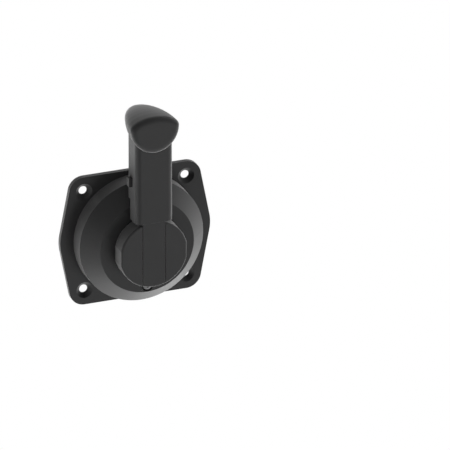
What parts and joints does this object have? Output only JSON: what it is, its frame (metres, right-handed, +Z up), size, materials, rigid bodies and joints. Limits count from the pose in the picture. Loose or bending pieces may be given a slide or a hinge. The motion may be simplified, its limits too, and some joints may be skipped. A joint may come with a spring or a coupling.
{
  "type": "side mount throttle control",
  "caption": "Side mount throttle control: a square lever with a flat-faced grip and a side button on a round hub, turning on a domed housing with a bolt-on flange.",
  "frame": {"origin": "centre of the four bolt holes in the mounting face (the flange's back face), which is also the lever's axis", "axes": "+Z up along the lever in neutral, front facing -Y, +X to the right of a viewer who faces the front, the lever turning about Y"},
  "size_m": [0.1214, 0.0505, 0.169],
  "materials": {
    "body_plastic": "dark grey, almost black, with a satin moulded skin",
    "lever_plastic": "dark grey, almost black, satin",
    "knob_plastic": "dark grey, almost black, smooth satin",
    "button_plastic": "black, fine grain",
    "cover_plastic": "black, fine grain",
    "seal_rubber": "black, dull",
    "stainless": "bright stainless steel",
    "black_steel": "blackened stainless steel",
    "brass": "turned brass",
    "board_laminate": "green solder mask",
    "chip_plastic": "black moulded chip",
    "connector_plastic": "off-white moulding",
    "friction_lining": "brown pressed lining",
    "washer_plastic": "natural white plastic",
    "magnet_metal": "nickel plated magnet"
  },
  "bodies": {
    "base": {"housing": "body_plastic", "panel_gasket": "seal_rubber", "rear_cover": "cover_plastic", "cover_seal": "seal_rubber", "cover_screws": "stainless", "gland_body": "cover_plastic", "gland_seal": "seal_rubber", "gland_nut": "cover_plastic", "spindle_bush": "brass", "shaft_seal": "seal_rubber", "stop_pin": "stainless", "detent_sleeve": "brass", "detent_spring": "stainless", "sensor_board": "board_laminate", "angle_sensor": "chip_plastic", "board_connector": "connector_plastic", "board_screws": "stainless"},
    "lever": {"spindle": "stainless", "spindle_screws": "stainless", "thrust_washer": "washer_plastic", "friction_rotor": "stainless", "rotor_washer": "stainless", "spindle_nut": "stainless", "magnet": "magnet_metal", "hub": "body_plastic", "arm_screws": "stainless", "lever_arm": "lever_plastic", "back_cover": "lever_plastic", "back_cover_screws": "stainless", "knob": "knob_plastic", "knob_screw": "stainless", "button_seal": "seal_rubber", "switch_board": "board_laminate", "button_switch": "stainless", "button_spring": "stainless"},
    "button": {"side_button": "button_plastic"},
    "adjuster": {"friction_screw": "black_steel", "screw_clip": "stainless"},
    "brake_pad": {"pad_carrier": "brass", "friction_pad": "friction_lining"},
    "detent": {"detent_plunger": "stainless"}
  },
  "joints": [
    {"name": "lever_swing", "type": "hinge", "parent": "base", "child": "lever", "pos_m": [0, -0.03, 0], "axis": [0, 1, 0], "range_deg": [-60, 60]},
    {"name": "button_press", "type": "slide", "parent": "lever", "child": "button", "axis": [1, 0, 0], "range_m": [0, 0.0012], "stiffness_N_per_m": 600, "springref_m": -0.0001, "deforming": ["button_spring"]},
    {"name": "friction_screw_turn", "type": "hinge", "parent": "base", "child": "adjuster", "pos_m": [0, -0.024, -0.0327], "axis": [0, 1, 0], "range_deg": [-360, 90]},
    {"name": "friction_pad_slide", "type": "slide", "parent": "base", "child": "brake_pad", "axis": [0, 1, 0], "range_m": [-0.0008, 0.0002]},
    {"name": "detent_slide", "type": "slide", "parent": "base", "child": "detent", "axis": [0, -1, 0], "range_m": [0, 0.0008], "stiffness_N_per_m": 1200, "springref_m": -0.00005, "deforming": ["detent_spring"]}
  ],
  "couplings": [
    {"joint": "friction_screw_turn", "follows": "friction_pad_slide", "rad_per_m": 7854}
  ]
}
